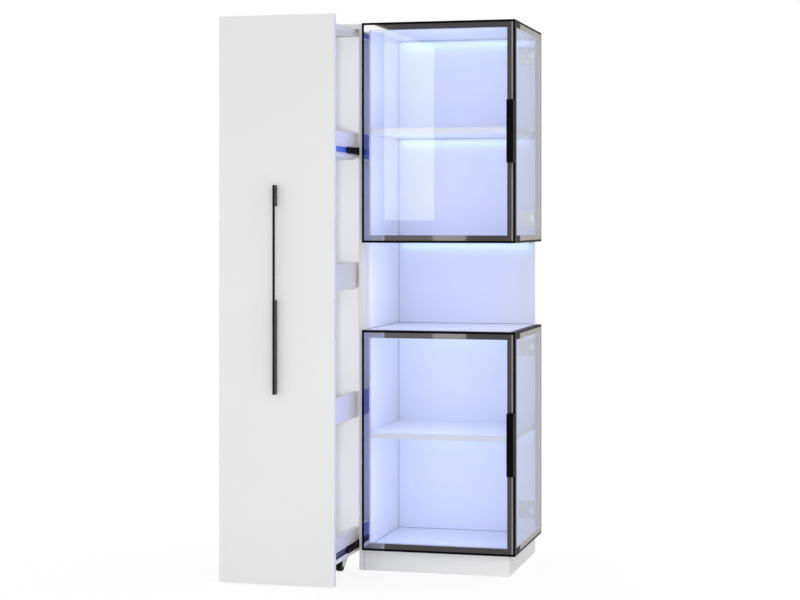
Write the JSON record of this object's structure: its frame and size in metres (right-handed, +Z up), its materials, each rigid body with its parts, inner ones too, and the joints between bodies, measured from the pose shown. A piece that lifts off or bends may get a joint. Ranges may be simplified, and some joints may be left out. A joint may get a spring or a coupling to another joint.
{
  "type": "glass-door bookcase with pull-out shelf unit",
  "caption": "Tall white bookcase with a lit glass-door display column beside a pull-out shelf unit that runs on telescopic runners and casters behind a slab front.",
  "frame": {"origin": "middle of the footprint on the floor at the pictured pose, with the pull-out drawn out 254 mm", "axes": "+Z up, +Y from the front towards the wall, +X from the pull-out towards the glass column"},
  "size_m": [0.8, 0.687, 1.6],
  "materials": {
    "white_board": "white lacquered board, satin",
    "rail_board": "white laminated board, satin",
    "door_frame": "dark anodised profile, satin",
    "door_glass": "clear float glass, polished",
    "black_handle": "black brushed profile",
    "hinge_steel": "nickel plated steel",
    "runner_black": "black coated steel",
    "runner_zinc": "bright zinc plated steel",
    "caster_wheel": "black moulded tread",
    "caster_fork": "pale grey coated steel",
    "led_diffuser": "lit milky diffuser"
  },
  "bodies": {
    "carcass": {"back_panel": "white_board", "bay_top_panel": "white_board", "bottom_runner_outers": "runner_black", "display_top_panel": "white_board", "divider_panel": "white_board", "high_runner_outers": "runner_black", "led_strips": "led_diffuser", "left_side_panel": "white_board", "lower_case_floor": "white_board", "lower_case_top": "white_board", "lower_front_door_hinges": "hinge_steel", "lower_shelf": "white_board", "lower_side_door_hinges": "hinge_steel", "plinth_front": "white_board", "plinth_side": "white_board", "upper_case_floor": "white_board", "upper_front_door_hinges": "hinge_steel", "upper_shelf": "white_board", "upper_side_door_hinges": "hinge_steel"},
    "pull_out": {"bottom_left_rail": "rail_board", "bottom_right_rail": "rail_board", "bottom_runner_inners": "runner_zinc", "caster_axles": "hinge_steel", "caster_forks": "caster_fork", "high_runner_inners": "runner_zinc", "high_shelf_left_rail": "rail_board", "high_shelf_right_rail": "rail_board", "low_shelf_left_rail": "rail_board", "low_shelf_right_rail": "rail_board", "mid_shelf_left_rail": "rail_board", "mid_shelf_right_rail": "rail_board", "pull_out_back": "white_board", "pull_out_bottom": "white_board", "pull_out_front": "white_board", "pull_out_handle": "black_handle", "pull_out_high_shelf": "white_board", "pull_out_low_shelf": "white_board", "pull_out_mid_shelf": "white_board", "pull_out_top": "white_board"},
    "runner_middles": {"bottom_runner_middles": "runner_black", "high_runner_middles": "runner_black"},
    "upper_front_door": {"upper_front_door_frame": "door_frame", "upper_front_door_glass": "door_glass", "upper_front_door_handle": "black_handle", "upper_front_door_hinge_pins": "hinge_steel"},
    "lower_front_door": {"lower_front_door_frame": "door_frame", "lower_front_door_glass": "door_glass", "lower_front_door_handle": "black_handle", "lower_front_door_hinge_pins": "hinge_steel"},
    "upper_side_door": {"upper_side_door_frame": "door_frame", "upper_side_door_glass": "door_glass", "upper_side_door_hinge_pins": "hinge_steel"},
    "lower_side_door": {"lower_side_door_frame": "door_frame", "lower_side_door_glass": "door_glass", "lower_side_door_hinge_pins": "hinge_steel"},
    "front_left_wheel": {"front_left_wheel": "caster_wheel"},
    "front_right_wheel": {"front_right_wheel": "caster_wheel"},
    "rear_left_wheel": {"rear_left_wheel": "caster_wheel"},
    "rear_right_wheel": {"rear_right_wheel": "caster_wheel"}
  },
  "joints": [
    {"name": "pull_out_slide", "type": "slide", "parent": "carcass", "child": "pull_out", "axis": [0, -1, 0], "range_m": [-0.254, 0.036]},
    {"name": "runner_middles_slide", "type": "slide", "parent": "carcass", "child": "runner_middles", "axis": [0, -1, 0], "range_m": [-0.127, 0.018]},
    {"name": "upper_front_door_swing", "type": "hinge", "parent": "carcass", "child": "upper_front_door", "pos_m": [-0.049, -0.0585, 1.2795], "axis": [0, 0, -1], "range_deg": [0, 90]},
    {"name": "lower_front_door_swing", "type": "hinge", "parent": "carcass", "child": "lower_front_door", "pos_m": [-0.049, -0.0585, 0.383], "axis": [0, 0, -1], "range_deg": [0, 90]},
    {"name": "upper_side_door_swing", "type": "hinge", "parent": "carcass", "child": "upper_side_door", "pos_m": [0.392, 0.3265, 1.2795], "axis": [0, 0, 1], "range_deg": [0, 90]},
    {"name": "lower_side_door_swing", "type": "hinge", "parent": "carcass", "child": "lower_side_door", "pos_m": [0.392, 0.3265, 0.383], "axis": [0, 0, 1], "range_deg": [0, 90]},
    {"name": "front_left_wheel_spin", "type": "hinge", "parent": "pull_out", "child": "front_left_wheel", "pos_m": [-0.335, -0.2605, 0.022], "axis": [1, 0, 0], "continuous": true},
    {"name": "front_right_wheel_spin", "type": "hinge", "parent": "pull_out", "child": "front_right_wheel", "pos_m": [-0.119, -0.2605, 0.022], "axis": [1, 0, 0], "continuous": true},
    {"name": "rear_left_wheel_spin", "type": "hinge", "parent": "pull_out", "child": "rear_left_wheel", "pos_m": [-0.335, -0.0765, 0.022], "axis": [1, 0, 0], "continuous": true},
    {"name": "rear_right_wheel_spin", "type": "hinge", "parent": "pull_out", "child": "rear_right_wheel", "pos_m": [-0.119, -0.0765, 0.022], "axis": [1, 0, 0], "continuous": true}
  ],
  "couplings": [
    {"joint": "runner_middles_slide", "follows": "pull_out_slide", "ratio": 0.5}
  ]
}
